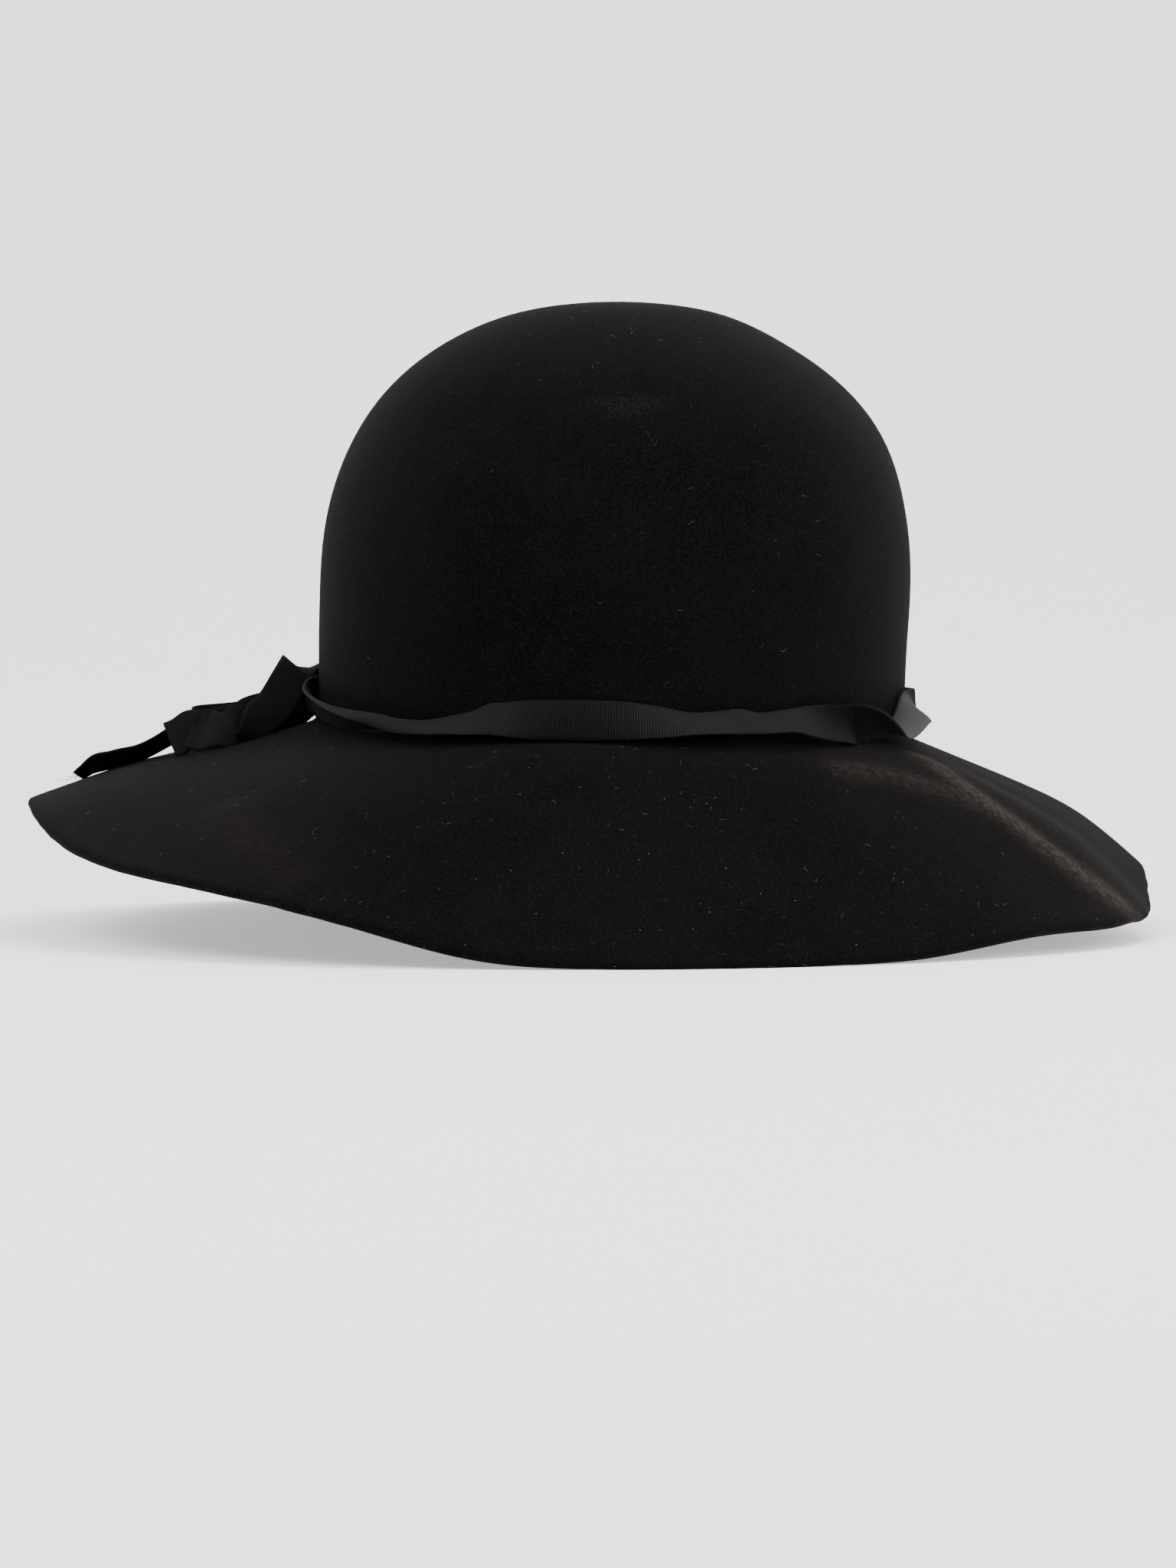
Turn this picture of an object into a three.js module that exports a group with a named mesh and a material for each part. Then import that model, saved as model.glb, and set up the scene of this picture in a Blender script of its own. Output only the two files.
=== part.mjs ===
// A wide-brimmed felt hat with a deep round crown, a narrow ribbed ribbon round the foot
// of the crown and a loose bow on its left side. Millimetres, +Z up, the front towards -Y.
import * as THREE from 'three';
import { mergeVertices } from 'three/addons/utils/BufferGeometryUtils.js';

// Driving sizes, measured on the outside of the felt
const crownWidth = 181.6;      // from ear to ear
const crownLength = 196;       // from forehead to nape
const crownHeight = 130.6;     // from the root of the brim to the top
const feltWall = 2.2;
const rootRadius = 3.5;        // bend between the crown and the brim
const brimReach = 88;          // widest reach of the brim beyond the crown
const brimFall = 60.8;         // lowest stretch of the edge below the root
const settle = 2.6;            // how much of the edge is pressed flat where the hat stands
const ribbonWidth = 12;
const ribbonThick = 1;
const clearance = 0.3;         // between pieces that lie on each other

// The knot as shares of ribbonWidth: its size, where its middle lies (out from the crown's
// left side, back from the middle line, above the root) and how square its section is
const knotSize = { out: 0.75, back: 0.83, rise: 0.83 };
const knotPlace = { out: 0.49, back: 1.16, rise: 0.46 };
const knotRoundness = 0.75;

// Shaping of the felt
const rootSharpness = 0.9;     // how near the root bend comes to a sharp corner
const crownPacking = 1.15;     // above 1 the crown's sections gather towards its foot
const foldGrowth = 0.35;       // share of the reach over which a fold reaches its height
const dentFade = 3;            // how quickly dents vanish at the very top

// How finely the faceted surfaces are divided
const feltSides = 72;
const crownSteps = 12;
const rootSteps = 2;
const brimSteps = 8;
const bandSteps = 104;
const bowSteps = 26;
const acrossSteps = 5;
const bowAcrossSteps = 4;
const knotSides = 14;
const knotRings = 10;
const restRounds = 8;          // moves that bring a ribbon clear of the felt
const smoothPasses = 3;

// A table has its column names first, then a row for each section, fold or dent
const table = (names, rows) => rows.map(
  (row) => Object.fromEntries(names.map((name, column) => [name, row[column]])),
);

// Crown sections: rise is a share of the crown's height above its foot, left and right are
// shares of its half width. The right shoulder is fuller and flatter than the left one.
const crownSections = table(['rise', 'left', 'right'], [
  [0.000, 0.998, 0.974],
  [0.110, 0.998, 0.977],
  [0.230, 0.997, 0.987],
  [0.360, 0.995, 0.999],
  [0.480, 0.972, 0.984],
  [0.580, 0.938, 0.962],
  [0.680, 0.876, 0.911],
  [0.770, 0.790, 0.823],
  [0.850, 0.677, 0.692],
  [0.910, 0.550, 0.548],
  [0.960, 0.400, 0.412],
  [0.988, 0.235, 0.255],
  [1.000, 0.000, 0.000],
]);

// Brim sections: azimuth in degrees from the hat's left-to-right axis (front is -90),
// reach as a share of brimReach, heights at the root, at each quarter of the reach and at
// the edge as shares of brimFall.
const brimSections = table(
  ['azimuth', 'reach', 'root', 'quarter', 'half', 'threeQuarter', 'edge'],
  [
    [-180, 1.000, 0.042, -0.052, -0.125, -0.217, -0.338],
    [-165, 1.000, 0.038, -0.060, -0.148, -0.250, -0.378],
    [-155, 1.000, 0.024, -0.083, -0.183, -0.317, -0.487],
    [-145, 0.983, 0.020, -0.092, -0.217, -0.383, -0.570],
    [-130, 0.948, 0.015, -0.100, -0.258, -0.450, -0.652],
    [-115, 0.895, 0.007, -0.108, -0.300, -0.540, -0.772],
    [-105, 0.828, 0.002, -0.108, -0.342, -0.640, -0.922],
    [-90, 0.783, 0.000, -0.108, -0.367, -0.692, -0.997],
    [-75, 0.777, 0.000, -0.108, -0.367, -0.692, -1.000],
    [-60, 0.803, -0.008, -0.108, -0.350, -0.655, -0.965],
    [-45, 0.845, -0.017, -0.108, -0.308, -0.575, -0.888],
    [-33, 0.888, -0.025, -0.133, -0.300, -0.555, -0.880],
    [-22, 0.895, -0.032, -0.142, -0.300, -0.530, -0.895],
    [-10, 0.848, -0.038, -0.150, -0.280, -0.462, -0.800],
    [0, 0.843, -0.042, -0.148, -0.272, -0.424, -0.680],
    [15, 0.846, -0.038, -0.138, -0.268, -0.422, -0.675],
    [35, 0.841, -0.025, -0.125, -0.317, -0.567, -0.850],
    [55, 0.813, -0.013, -0.117, -0.350, -0.658, -0.967],
    [75, 0.788, 0.000, -0.108, -0.367, -0.692, -1.000],
    [100, 0.784, 0.005, -0.108, -0.367, -0.692, -1.000],
    [120, 0.818, 0.012, -0.100, -0.333, -0.617, -0.917],
    [140, 0.903, 0.018, -0.092, -0.258, -0.475, -0.717],
    [160, 0.977, 0.038, -0.052, -0.116, -0.208, -0.400],
  ],
);

// Soft ridges and hollows that run out over the brim: azimuth at the root and at the edge,
// height as a share of brimFall, half width in degrees, where along the reach they start
const brimFolds = table(['rootAzimuth', 'edgeAzimuth', 'height', 'spread', 'start'], [
  [-37, -22, 0.026, 5, 0.10],
  [-14, -6, -0.022, 9, 0.20],
  [-128, -120, -0.012, 9, 0.35],
]);

// Soft dents in the crown: azimuth, rise, depth as a share of crownWidth, half widths in
// degrees and as a share of the crown's height
const crownDents = table(['azimuth', 'rise', 'depth', 'spread', 'band'], [
  [-38, 0.80, 0.011, 26, 0.13],
  [-128, 0.62, 0.006, 24, 0.16],
  [112, 0.66, 0.008, 34, 0.18],
]);

const degrees = Math.PI / 180;
const lerp = THREE.MathUtils.lerp;

// Smooth curve through evenly numbered values, with the slope of each from its neighbours
function spline(before, start, end, after, t) {
  const startSlope = (end - before) / 2;
  const endSlope = (after - start) / 2;
  const rise = end - start;
  const bend = 3 * rise - 2 * startSlope - endSlope;
  const twist = startSlope + endSlope - 2 * rise;
  return start + t * (startSlope + t * (bend + t * twist));
}

// Value of a column of an open table at position t, counted in rows, ghost rows at its ends
function along(values, t, ghostBefore, ghostAfter) {
  const last = values.length - 1;
  const row = Math.min(Math.floor(t), last - 1);
  const before = row > 0 ? values[row - 1] : ghostBefore;
  const after = row + 2 <= last ? values[row + 2] : ghostAfter;
  return spline(before, values[row], values[row + 1], after, t - row);
}

// Value of a column that belongs to unevenly spaced azimuths, once round the hat
function around(rows, column, azimuth) {
  const count = rows.length;
  const turn = THREE.MathUtils.euclideanModulo(azimuth - rows[0].azimuth, 360);
  const place = rows[0].azimuth + turn;
  let row = count - 1;
  while (rows[row].azimuth > place) row -= 1;
  const at = (index) => rows[(index + count) % count].azimuth + 360 * Math.floor(index / count);
  const value = (index) => rows[(index + count) % count][column];
  const slope = (index) => (value(index + 1) - value(index - 1)) / (at(index + 1) - at(index - 1));
  const span = at(row + 1) - at(row);
  const t = (place - at(row)) / span;
  const before = value(row + 1) - 2 * slope(row) * span;
  const after = value(row) + 2 * slope(row + 1) * span;
  return spline(before, value(row), value(row + 1), after, t);
}

const angleBetween = (a, b) => THREE.MathUtils.euclideanModulo(a - b + 180, 360) - 180;
const bell = (distance, spread) => Math.exp(-((distance / spread) ** 2));

// Radius of the crown's oval plan at full size
function ovalRadius(azimuth) {
  const across = Math.cos(azimuth * degrees) / (crownWidth / 2);
  const deep = Math.sin(azimuth * degrees) / (crownLength / 2);
  return 1 / Math.hypot(across, deep);
}

// Outer skin of the crown at an azimuth, t from 0 at its foot to 1 at the top: [radius, height]
function crownPoint(azimuth, t) {
  const foot = around(brimSections, 'root', azimuth) * brimFall + rootRadius;
  const rightness = (1 + Math.cos(azimuth * degrees)) / 2;
  const shares = crownSections.map((row) => lerp(row.left, row.right, rightness));
  const rises = crownSections.map((row) => row.rise);
  const last = shares.length - 1;
  const place = t * last;
  const share = along(shares, place, 2 * shares[0] - shares[1], -shares[last - 1]);
  const rise = along(rises, place, -rises[1], rises[last - 1]);
  let radius = share * ovalRadius(azimuth);
  for (const dent of crownDents) {
    const side = bell(angleBetween(azimuth, dent.azimuth), dent.spread);
    const level = bell(rise - dent.rise, dent.band);
    radius -= dent.depth * crownWidth * side * level * Math.min(1, dentFade * (1 - rise));
  }
  return [radius, lerp(foot, crownHeight, rise)];
}

function foldHeight(azimuth, t) {
  let height = 0;
  for (const fold of brimFolds) {
    const centre = lerp(fold.rootAzimuth, fold.edgeAzimuth, t);
    const grown = THREE.MathUtils.smoothstep(t, fold.start, fold.start + foldGrowth);
    height += fold.height * brimFall * grown * bell(angleBetween(azimuth, centre), fold.spread);
  }
  return height;
}

// Upper skin of the brim at an azimuth, t from 0 at the root bend to 1 at the edge
function brimPoint(azimuth, t) {
  const wall = crownPoint(azimuth, 0)[0];
  const reach = around(brimSections, 'reach', azimuth) * brimReach;
  const heights = ['root', 'quarter', 'half', 'threeQuarter', 'edge'].map(
    (column) => around(brimSections, column, azimuth) * brimFall,
  );
  const rootSlope = Math.atan2(heights[0] - heights[1], reach / 4);
  const radii = heights.map((height, index) => wall + (reach * index) / 4);
  radii[0] += rootRadius * (1 - Math.sin(rootSlope));
  heights[0] += rootRadius * (1 - Math.cos(rootSlope));
  const place = t * 4;
  const radius = along(radii, place, 2 * radii[0] - radii[1], 2 * radii[4] - radii[3]);
  const ghostBefore = heights[0] + (radii[1] - radii[0]) * Math.tan(rootSlope);
  const ghostAfter = 2 * heights[4] - heights[3];
  const height = along(heights, place, ghostBefore, ghostAfter);
  return [radius, height + foldHeight(azimuth, t)];
}

// Bend between the wall and the brim, t from 0 at the brim to 1 at the crown's foot
function rootPoint(azimuth, t) {
  const [wall, foot] = crownPoint(azimuth, 0);
  const [brimRadius, brimHeight] = brimPoint(azimuth, 0);
  const corner = [lerp(brimRadius, wall, rootSharpness), lerp(foot, brimHeight, rootSharpness)];
  const blend = (a, b, c) => a * (1 - t) ** 2 + 2 * b * t * (1 - t) + c * t ** 2;
  return [blend(brimRadius, corner[0], wall), blend(brimHeight, corner[1], foot)];
}

// The whole outer skin as one section, from the brim's edge to the top
function skinSection(azimuth) {
  const section = [];
  for (let step = 0; step <= brimSteps; step += 1) {
    section.push(brimPoint(azimuth, 1 - step / brimSteps));
  }
  for (let step = 1; step < rootSteps; step += 1) {
    section.push(rootPoint(azimuth, step / rootSteps));
  }
  for (let step = 0; step < crownSteps; step += 1) {
    section.push(crownPoint(azimuth, 1 - (1 - step / crownSteps) ** crownPacking));
  }
  return section;
}

const turned = (radius, height, azimuth) => new THREE.Vector3(
  radius * Math.cos(azimuth * degrees),
  radius * Math.sin(azimuth * degrees),
  height,
);

// A geometry from shared points and triangles
function solid(points, triangles) {
  const geometry = new THREE.BufferGeometry();
  const places = points.flatMap((point) => point.toArray());
  geometry.setAttribute('position', new THREE.Float32BufferAttribute(places, 3));
  geometry.setIndex(triangles);
  geometry.computeVertexNormals();
  return geometry;
}

// Two triangles for each cell of a grid of point numbers
function facets(grid, closed, triangles) {
  for (let row = 0; row + 1 < grid.length; row += 1) {
    const width = grid[row].length;
    for (let column = 0; column < width - (closed ? 0 : 1); column += 1) {
      const next = (column + 1) % width;
      const [a, b] = [grid[row][column], grid[row][next]];
      const [c, d] = [grid[row + 1][next], grid[row + 1][column]];
      triangles.push(a, b, c, a, c, d);
    }
  }
}

const floorHeight = -brimFall - feltWall + settle;

// Crown and brim as one hollow wall, pressed flat where the edge meets the ground
function feltBody() {
  const sections = Array.from({ length: feltSides }, (unused, side) => {
    const azimuth = -180 + (360 * side) / feltSides;
    return skinSection(azimuth).map(([radius, height]) => turned(radius, height, azimuth));
  });
  const rows = sections[0].length;
  const top = turned(0, crownHeight, 0);
  const outer = (side, row) => (row < rows ? sections[(side + feltSides) % feltSides][row] : top);
  const points = [];
  const outerGrid = [];
  const innerGrid = [];
  for (let row = 0; row < rows; row += 1) {
    outerGrid.push([]);
    innerGrid.push([]);
    for (let side = 0; side < feltSides; side += 1) {
      const sideways = outer(side + 1, row).clone().sub(outer(side - 1, row));
      const upwards = outer(side, row + 1).clone().sub(outer(side, Math.max(row - 1, 0)));
      const normal = sideways.cross(upwards).normalize();
      const inner = outer(side, row).clone().addScaledVector(normal, -feltWall);
      outerGrid[row].push(points.push(outer(side, row).clone()) - 1);
      innerGrid[row].push(points.push(inner) - 1);
    }
  }
  const outerTop = points.push(top) - 1;
  const innerTop = points.push(turned(0, crownHeight - feltWall, 0)) - 1;
  for (const point of points) point.z = Math.max(point.z, floorHeight);
  const triangles = [];
  facets(outerGrid, true, triangles);
  facets([...innerGrid].reverse(), true, triangles);
  facets([innerGrid[0], outerGrid[0]], true, triangles);
  for (let side = 0; side < feltSides; side += 1) {
    const next = (side + 1) % feltSides;
    triangles.push(outerGrid[rows - 1][side], outerGrid[rows - 1][next], outerTop);
    triangles.push(innerGrid[rows - 1][next], innerGrid[rows - 1][side], innerTop);
  }
  return solid(points, triangles);
}

// Signed distance from a point to the outer skin, and the way out of it
const sectionsByDegree = new Map();
function awayFromFelt(point) {
  const azimuth = Math.atan2(point.y, point.x) / degrees;
  const degree = Math.round(azimuth);
  if (!sectionsByDegree.has(degree)) {
    sectionsByDegree.set(degree, [...skinSection(degree), [0, crownHeight]]);
  }
  const section = sectionsByDegree.get(degree);
  const place = new THREE.Vector2(Math.hypot(point.x, point.y), point.z);
  let best = { gap: Infinity };
  for (let step = 0; step + 1 < section.length; step += 1) {
    const start = new THREE.Vector2(...section[step]);
    const span = new THREE.Vector2(...section[step + 1]).sub(start);
    const share = THREE.MathUtils.clamp(place.clone().sub(start).dot(span) / span.lengthSq(), 0, 1);
    const offset = place.clone().sub(start.addScaledVector(span, share));
    const outward = new THREE.Vector2(span.y, -span.x).normalize();
    const gap = offset.length() * (offset.dot(outward) < 0 ? -1 : 1);
    if (Math.abs(gap) < Math.abs(best.gap)) best = { gap, outward };
  }
  return { gap: best.gap, way: turned(best.outward.x, best.outward.y, azimuth) };
}

// Moves a row of points together until all of them lie clear of the felt
const ribbonLift = clearance + ribbonThick / 2;
function rest(row) {
  for (let round = 0; round < restRounds; round += 1) {
    const found = row.map(awayFromFelt).reduce((a, b) => (a.gap < b.gap ? a : b));
    if (found.gap >= ribbonLift) return row;
    for (const point of row) point.addScaledVector(found.way, ribbonLift - found.gap);
  }
  return row;
}

// Evens out the rows along a ribbon between two passes of coming to rest
function settleRows(rows) {
  let placed = rows.map(rest);
  for (let pass = 0; pass < smoothPasses; pass += 1) {
    placed = placed.map((row, index) => {
      const before = placed[Math.max(index - 1, 0)];
      const after = placed[Math.min(index + 1, placed.length - 1)];
      return row.map((point, column) => point.clone().multiplyScalar(2)
        .add(before[column]).add(after[column]).divideScalar(4));
    });
  }
  return placed.map(rest);
}

// Points across a ribbon: a straight line, or an arc that turns by curl degrees
function ribbonRow(centre, across, face, curl, steps) {
  const bend = curl * degrees;
  const straight = Math.abs(curl) < 1;
  return Array.from({ length: steps + 1 }, (unused, step) => {
    const share = step / steps - 0.5;
    const sideways = straight ? share : Math.sin(bend * share) / bend;
    const inwards = straight ? 0 : (Math.cos(bend * share) - 1) / bend;
    return centre.clone()
      .addScaledVector(across, sideways * ribbonWidth)
      .addScaledVector(face, inwards * ribbonWidth);
  });
}

// A ribbon of even thickness round rows of middle points
function ribbonSolid(rows) {
  const points = [];
  const faceGrid = [];
  const backGrid = [];
  rows.forEach((row, index) => {
    const before = rows[Math.max(index - 1, 0)];
    const after = rows[Math.min(index + 1, rows.length - 1)];
    faceGrid.push([]);
    backGrid.push([]);
    row.forEach((point, column) => {
      const onwards = after[column].clone().sub(before[column]);
      const across = row[Math.min(column + 1, row.length - 1)].clone();
      across.sub(row[Math.max(column - 1, 0)]);
      const face = onwards.cross(across).normalize();
      faceGrid[index].push(points.push(point.clone().addScaledVector(face, ribbonThick / 2)) - 1);
      backGrid[index].push(points.push(point.clone().addScaledVector(face, -ribbonThick / 2)) - 1);
    });
  });
  const triangles = [];
  const flipped = (grid) => grid.map((row) => [...row].reverse());
  facets(flipped(faceGrid), false, triangles);
  facets(backGrid, false, triangles);
  const side = (pick) => [faceGrid.map(pick), backGrid.map(pick)];
  facets(side((row) => row[0]).reverse(), false, triangles);
  facets(side((row) => row[row.length - 1]), false, triangles);
  facets([faceGrid[0], backGrid[0]], false, triangles);
  facets([backGrid[rows.length - 1], faceGrid[rows.length - 1]], false, triangles);
  return solid(points, triangles);
}

// The band runs from the knot by the front and the right side round to the knot again.
// Rise and stand (beyond touching the crown) are shares of ribbonWidth. Lean turns the
// upper edge towards the crown, curl bends the ribbon across its width.
const bandStations = table(['azimuth', 'rise', 'stand', 'lean', 'curl'], [
  [-189, 0.72, 0.00, 180, 0],
  [-182, 0.78, 0.02, 180, -30],
  [-174, 0.76, 0.10, 178, -70],
  [-166, 0.66, 0.12, 170, -50],
  [-158, 0.60, 0.08, 156, 0],
  [-151, 0.60, 0.06, 136, 60],
  [-144, 0.62, 0.04, 112, 110],
  [-135, 0.56, 0.02, 92, 140],
  [-127, 0.50, 0.02, 78, 140],
  [-120, 0.46, 0.02, 62, 110],
  [-113, 0.46, 0.00, 34, 60],
  [-105, 0.46, 0.00, 8, 12],
  [-95, 0.46, 0.00, 0, 6],
  [-86, 0.46, 0.00, 20, 20],
  [-77, 0.46, 0.02, 44, 40],
  [-68, 0.46, 0.02, 42, 30],
  [-61, 0.40, 0.02, 18, -10],
  [-53, 0.31, 0.02, -6, -50],
  [-46, 0.27, 0.02, -28, -80],
  [-39, 0.24, 0.02, -56, -90],
  [-32, 0.26, 0.02, -92, -80],
  [-25, 0.30, 0.01, -134, -70],
  [-17, 0.26, 0.00, -170, -60],
  [-8, 0.16, 0.00, -194, -50],
  [2, 0.18, 0.00, -200, -40],
  [14, 0.38, 0.00, -190, -20],
  [28, 0.55, 0.03, -180, 0],
  [44, 0.56, 0.00, -180, 0],
  [62, 0.56, 0.00, -180, 0],
  [80, 0.56, 0.00, -180, 0],
  [98, 0.56, 0.00, -180, 0],
  [116, 0.56, 0.00, -180, 0],
  [134, 0.56, 0.00, -180, 0],
  [159, 0.58, 0.00, -180, 0],
]);

function ribbonBand() {
  const up = new THREE.Vector3(0, 0, 1);
  const stationAt = (t) => Object.fromEntries(Object.keys(bandStations[0]).map((name) => {
    const values = bandStations.map((station) => station[name]);
    const last = values.length - 1;
    const ghosts = [2 * values[0] - values[1], 2 * values[last] - values[last - 1]];
    return [name, along(values, t, ...ghosts)];
  }));
  const rows = [];
  for (let step = 0; step <= bandSteps; step += 1) {
    const station = stationAt((step / bandSteps) * (bandStations.length - 1));
    const lean = station.lean * degrees;
    const out = turned(1, 0, station.azimuth);
    const [wall] = crownPoint(station.azimuth, 0);
    const centre = turned(
      wall + ribbonLift + station.stand * ribbonWidth,
      station.rise * ribbonWidth,
      station.azimuth,
    );
    const across = up.clone().multiplyScalar(Math.cos(lean)).addScaledVector(out, -Math.sin(lean));
    const face = out.clone().multiplyScalar(Math.cos(lean)).addScaledVector(up, Math.sin(lean));
    rows.push(ribbonRow(centre, across, face, station.curl, acrossSteps));
  }
  return ribbonSolid(settleRows(rows));
}

// Strips of the bow, as shares of ribbonWidth like the knot: out from the crown's left side,
// back from the middle line, rise above the root, then the way across the ribbon.
const bowColumns = ['out', 'back', 'rise', 'acrossOut', 'acrossBack', 'acrossRise'];
const bowStrips = {
  bow_loop_upper: table(bowColumns, [
    [0.74, 1.04, 1.08, -0.10, 1.00, -0.10],
    [0.71, 0.62, 1.46, -0.50, 0.85, -0.15],
    [0.57, 0.08, 1.68, -0.70, 0.66, -0.18],
    [0.60, -0.36, 1.48, -0.68, 0.66, -0.30],
    [0.92, -0.52, 0.92, -0.65, 0.66, -0.37],
    [1.34, -0.46, 0.32, -0.65, 0.66, -0.37],
    [1.54, -0.20, -0.02, -0.65, 0.66, -0.40],
    [1.34, 0.12, 0.04, -0.60, 0.50, -0.60],
    [1.10, 0.40, 0.28, -0.40, 0.20, -0.85],
    [1.00, 0.62, 0.42, -0.20, 0.10, -0.95],
  ]),
  bow_loop_lower: table(bowColumns, [
    [1.00, 1.12, 0.42, 0.00, 0.00, -1.00],
    [1.58, 0.78, 0.40, 0.00, 0.00, -1.00],
    [2.33, 0.22, 0.24, 0.00, -0.05, -1.00],
    [2.88, 0.02, 0.14, 0.00, -0.05, -1.00],
    [3.16, 0.18, 0.12, 0.00, 0.00, -1.00],
    [2.97, 0.46, 0.15, 0.00, 0.00, -1.00],
    [2.34, 0.68, 0.24, 0.00, 0.00, -1.00],
    [1.62, 1.04, 0.38, 0.00, 0.00, -1.00],
    [1.00, 1.32, 0.44, 0.00, 0.00, -1.00],
  ]),
  ribbon_tail_short: table(bowColumns, [
    [1.00, 0.88, 0.40, 0.00, 0.10, -1.00],
    [1.43, 0.54, 0.30, 0.00, 0.00, -1.00],
    [1.92, 0.06, 0.14, 0.00, 0.00, -1.00],
    [2.44, -0.36, 0.03, -0.10, -0.10, -1.00],
    [2.86, -0.62, 0.05, -0.30, -0.25, -0.92],
    [3.18, -0.80, 0.01, -0.46, -0.40, -0.80],
    [3.46, -0.94, -0.13, -0.50, -0.42, -0.76],
    [3.70, -1.04, -0.28, -0.50, -0.42, -0.76],
  ]),
  ribbon_tail_long: table(bowColumns, [
    [1.00, 1.54, 0.45, 0.00, 0.00, -1.00],
    [1.68, 1.34, 0.36, 0.00, -0.10, -1.00],
    [2.52, 0.98, 0.22, 0.00, -0.45, -0.88],
    [3.35, 0.82, 0.10, -0.05, -0.80, -0.55],
    [3.93, 0.78, -0.22, -0.10, -0.96, -0.25],
    [4.52, 0.74, -0.62, -0.05, -0.92, -0.36],
    [5.18, 0.72, -0.94, 0.00, -0.92, -0.38],
    [5.72, 0.70, -1.18, 0.00, -0.92, -0.38],
    [5.96, 0.68, -1.30, 0.00, -0.93, -0.36],
  ]),
};
const bowCurl = 24;            // degrees that each bow strip bends across its width

// A place beside the crown's left side
const besideCrown = ({ out, back, rise }) => new THREE.Vector3(
  -crownWidth / 2 - out * ribbonWidth,
  back * ribbonWidth,
  rise * ribbonWidth,
);

function bowStrip(stations) {
  const places = stations.map(besideCrown);
  const ways = stations.map((station) => new THREE.Vector3(
    -station.acrossOut,
    station.acrossBack,
    station.acrossRise,
  ));
  const path = new THREE.CatmullRomCurve3(places);
  const turning = new THREE.CatmullRomCurve3(ways, false, 'catmullrom');
  const rows = [];
  for (let step = 0; step <= bowSteps; step += 1) {
    const t = step / bowSteps;
    const onwards = path.getTangent(t);
    const across = turning.getPoint(t);
    across.addScaledVector(onwards, -across.dot(onwards)).normalize();
    const face = onwards.clone().cross(across).normalize();
    rows.push(ribbonRow(path.getPoint(t), across, face, bowCurl, bowAcrossSteps));
  }
  return ribbonSolid(settleRows(rows));
}

// The knot is a soft pillow that is flattened where it meets the crown and the brim
function ribbonKnot() {
  const ball = new THREE.SphereGeometry(1, knotSides, knotRings);
  ball.deleteAttribute('normal');
  ball.deleteAttribute('uv');
  const knot = mergeVertices(ball);
  const places = knot.getAttribute('position');
  const centre = besideCrown(knotPlace);
  const radii = new THREE.Vector3(knotSize.out, knotSize.back, knotSize.rise)
    .multiplyScalar(ribbonWidth / 2);
  const squared = (value) => Math.sign(value) * Math.abs(value) ** knotRoundness;
  const knotGap = 2 * clearance + ribbonThick;
  for (let index = 0; index < places.count; index += 1) {
    const point = new THREE.Vector3().fromBufferAttribute(places, index);
    point.set(squared(point.x), squared(point.y), squared(point.z)).multiply(radii).add(centre);
    for (let round = 0; round < restRounds; round += 1) {
      const { gap, way } = awayFromFelt(point);
      if (gap < knotGap) point.addScaledVector(way, knotGap - gap);
    }
    places.setXYZ(index, point.x, point.y, point.z);
  }
  knot.computeVertexNormals();
  return knot;
}

const felt = new THREE.MeshStandardMaterial({ color: 0x1d1716, roughness: 0.95, metalness: 0 });
const ribbon = new THREE.MeshStandardMaterial({ color: 0x232124, roughness: 0.7, metalness: 0 });

const hat = new THREE.Group();
function add(name, geometry, material) {
  const mesh = new THREE.Mesh(geometry, material);
  mesh.name = name;
  hat.add(mesh);
  return mesh;
}

const body = add('felt_body', feltBody(), felt);
add('ribbon_band', ribbonBand(), ribbon);
add('ribbon_knot', ribbonKnot(), ribbon);
for (const [name, stations] of Object.entries(bowStrips)) add(name, bowStrip(stations), ribbon);

// The hat stands on the ground, centred on its outline
body.geometry.computeBoundingBox();
const middle = body.geometry.boundingBox.getCenter(new THREE.Vector3());
hat.position.set(-middle.x, -middle.y, -floorHeight);

export default hat;
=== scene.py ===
import math

import bmesh
import bpy
import numpy as np
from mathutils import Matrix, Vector
from mathutils.bvhtree import BVHTree


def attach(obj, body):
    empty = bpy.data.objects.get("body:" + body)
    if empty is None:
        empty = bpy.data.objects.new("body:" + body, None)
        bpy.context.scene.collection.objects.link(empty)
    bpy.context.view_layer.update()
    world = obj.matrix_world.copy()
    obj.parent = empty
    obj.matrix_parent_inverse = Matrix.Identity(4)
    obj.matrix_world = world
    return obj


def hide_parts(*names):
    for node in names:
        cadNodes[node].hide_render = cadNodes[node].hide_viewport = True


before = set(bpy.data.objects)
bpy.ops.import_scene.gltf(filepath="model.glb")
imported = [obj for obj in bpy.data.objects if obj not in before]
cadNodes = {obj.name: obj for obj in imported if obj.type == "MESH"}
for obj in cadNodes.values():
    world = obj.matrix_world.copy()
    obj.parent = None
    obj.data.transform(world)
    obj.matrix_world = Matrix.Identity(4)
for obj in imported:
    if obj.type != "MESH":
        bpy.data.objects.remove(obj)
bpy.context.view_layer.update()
print("frame loaded")

# Pieces are laid out in millimetres from the middle of the crown at the root of the brim,
# with the front towards -y, and become metres of the frame at the end.
crown = {"root": (8.0, 0.23, 60.4), "halfWidth": 90.8, "halfLength": 98.0}


def inFrame(points):
    return (np.asarray(points) + crown["root"]) / 1000


def ovalRadius(azimuth):
    return 1 / np.hypot(np.cos(azimuth) / crown["halfWidth"], np.sin(azimuth) / crown["halfLength"])


def aroundCrown(azimuth, out):  # plan place beside the crown, from degrees and millimetres
    turn = np.radians(azimuth)
    radius = ovalRadius(turn) + out
    return np.stack([radius * np.cos(turn), radius * np.sin(turn)], -1)


def smoothStep(value, low, high):
    share = np.clip((value - low) / (high - low), 0, 1)
    return share * share * (3 - 2 * share)


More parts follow.
